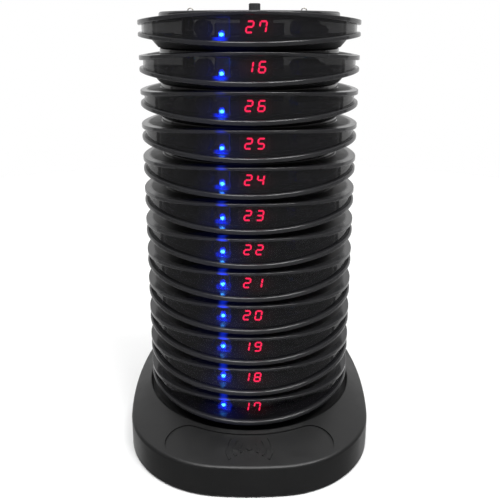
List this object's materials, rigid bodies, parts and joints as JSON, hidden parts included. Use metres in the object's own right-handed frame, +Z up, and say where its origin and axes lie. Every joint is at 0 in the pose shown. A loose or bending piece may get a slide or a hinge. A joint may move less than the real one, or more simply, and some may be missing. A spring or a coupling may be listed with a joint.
{
  "type": "guest pager stack on charging base",
  "caption": "Stack of round guest pagers with arched rims, smoked digit windows and spring contacts, standing in the nest of a charging base.",
  "frame": {"origin": "on the stack's axis, on the surface that the base's rubber feet stand on", "axes": "+Z up the stack, the digit windows and the base's front panel face -Y, +X to the viewer's right when facing the digits"},
  "size_m": [0.1242, 0.1504, 0.216],
  "materials": {
    "case_black": "satin moulded ABS with a fine polish on the lips",
    "smoked_window": "polished smoked polycarbonate",
    "base_black": "fine spark-textured ABS",
    "rubber_black": "matte",
    "screw_steel": "zinc plated",
    "board_green": "solder mask",
    "inlet_black": "moulded nylon",
    "contact_nickel": "nickel plated wire",
    "label_black": "printed film",
    "display_face": "grey display face",
    "led_blue": "clear epoxy",
    "guide_clear": "clear acrylic",
    "led_red": "diffused epoxy",
    "battery_wrap": "shrink wrap",
    "motor_steel": "plain"
  },
  "bodies": {
    "base": {"base_shell": "base_black", "base_floor": "base_black", "base_feet": "rubber_black", "base_screws": "screw_steel", "base_board": "board_green", "power_inlet": "inlet_black"},
    "base_contact_left": {"base_contact_left": "contact_nickel"},
    "base_contact_right": {"base_contact_right": "contact_nickel"},
    "pager_01": {"pager_01_upper_case": "case_black", "pager_01_window": "smoked_window", "pager_01_lower_case": "case_black"},
    "pager_02": {"pager_02_upper_case": "case_black", "pager_02_window": "smoked_window", "pager_02_lower_case": "case_black"},
    "pager_03": {"pager_03_upper_case": "case_black", "pager_03_window": "smoked_window", "pager_03_lower_case": "case_black"},
    "pager_04": {"pager_04_upper_case": "case_black", "pager_04_window": "smoked_window", "pager_04_lower_case": "case_black"},
    "pager_05": {"pager_05_upper_case": "case_black", "pager_05_window": "smoked_window", "pager_05_lower_case": "case_black"},
    "pager_06": {"pager_06_upper_case": "case_black", "pager_06_window": "smoked_window", "pager_06_lower_case": "case_black"},
    "pager_07": {"pager_07_upper_case": "case_black", "pager_07_window": "smoked_window", "pager_07_lower_case": "case_black"},
    "pager_08": {"pager_08_upper_case": "case_black", "pager_08_window": "smoked_window", "pager_08_lower_case": "case_black"},
    "pager_09": {"pager_09_upper_case": "case_black", "pager_09_window": "smoked_window", "pager_09_lower_case": "case_black"},
    "pager_10": {"pager_10_upper_case": "case_black", "pager_10_window": "smoked_window", "pager_10_lower_case": "case_black"},
    "pager_11": {"pager_11_upper_case": "case_black", "pager_11_window": "smoked_window", "pager_11_lower_case": "case_black"},
    "pager_12": {"pager_12_upper_case": "case_black", "pager_12_window": "smoked_window", "pager_12_lower_case": "case_black", "label_disc": "label_black", "contact_pads": "contact_nickel", "case_screws": "screw_steel", "circuit_board": "board_green", "digit_display": "display_face", "charge_led": "led_blue", "light_guide": "guide_clear", "alert_leds": "led_red", "battery_pack": "battery_wrap", "vibration_motor": "motor_steel", "sounder": "inlet_black"},
    "contact_loop_left": {"contact_loop_left": "contact_nickel"},
    "contact_loop_right": {"contact_loop_right": "contact_nickel"},
    "eccentric_weight": {"eccentric_weight": "motor_steel"}
  },
  "joints": [
    {"name": "base_contact_left_press", "type": "slide", "parent": "base", "child": "base_contact_left", "axis": [0, 0, 1], "range_m": [-0.0004, 0], "stiffness_N_per_m": 200},
    {"name": "base_contact_right_press", "type": "slide", "parent": "base", "child": "base_contact_right", "axis": [0, 0, 1], "range_m": [-0.0004, 0], "stiffness_N_per_m": 200},
    {"name": "pager_01_lift", "type": "slide", "parent": "base", "child": "pager_01", "axis": [0, 0, 1], "range_m": [0, 0.03]},
    {"name": "pager_02_lift", "type": "slide", "parent": "pager_01", "child": "pager_02", "axis": [0, 0, 1], "range_m": [0, 0.03]},
    {"name": "pager_03_lift", "type": "slide", "parent": "pager_02", "child": "pager_03", "axis": [0, 0, 1], "range_m": [0, 0.03]},
    {"name": "pager_04_lift", "type": "slide", "parent": "pager_03", "child": "pager_04", "axis": [0, 0, 1], "range_m": [0, 0.03]},
    {"name": "pager_05_lift", "type": "slide", "parent": "pager_04", "child": "pager_05", "axis": [0, 0, 1], "range_m": [0, 0.03]},
    {"name": "pager_06_lift", "type": "slide", "parent": "pager_05", "child": "pager_06", "axis": [0, 0, 1], "range_m": [0, 0.03]},
    {"name": "pager_07_lift", "type": "slide", "parent": "pager_06", "child": "pager_07", "axis": [0, 0, 1], "range_m": [0, 0.03]},
    {"name": "pager_08_lift", "type": "slide", "parent": "pager_07", "child": "pager_08", "axis": [0, 0, 1], "range_m": [0, 0.03]},
    {"name": "pager_09_lift", "type": "slide", "parent": "pager_08", "child": "pager_09", "axis": [0, 0, 1], "range_m": [0, 0.03]},
    {"name": "pager_10_lift", "type": "slide", "parent": "pager_09", "child": "pager_10", "axis": [0, 0, 1], "range_m": [0, 0.03]},
    {"name": "pager_11_lift", "type": "slide", "parent": "pager_10", "child": "pager_11", "axis": [0, 0, 1], "range_m": [0, 0.03]},
    {"name": "pager_12_lift", "type": "slide", "parent": "pager_11", "child": "pager_12", "axis": [0, 0, 1], "range_m": [0, 0.03]},
    {"name": "contact_loop_left_press", "type": "slide", "parent": "pager_12", "child": "contact_loop_left", "axis": [0, 0, 1], "range_m": [-0.001, 0], "stiffness_N_per_m": 200},
    {"name": "contact_loop_right_press", "type": "slide", "parent": "pager_12", "child": "contact_loop_right", "axis": [0, 0, 1], "range_m": [-0.001, 0], "stiffness_N_per_m": 200},
    {"name": "motor_spin", "type": "hinge", "parent": "pager_12", "child": "eccentric_weight", "pos_m": [0.02409, -0.0344, 0.20484], "axis": [0.8192, 0.5736, 0], "continuous": true}
  ]
}
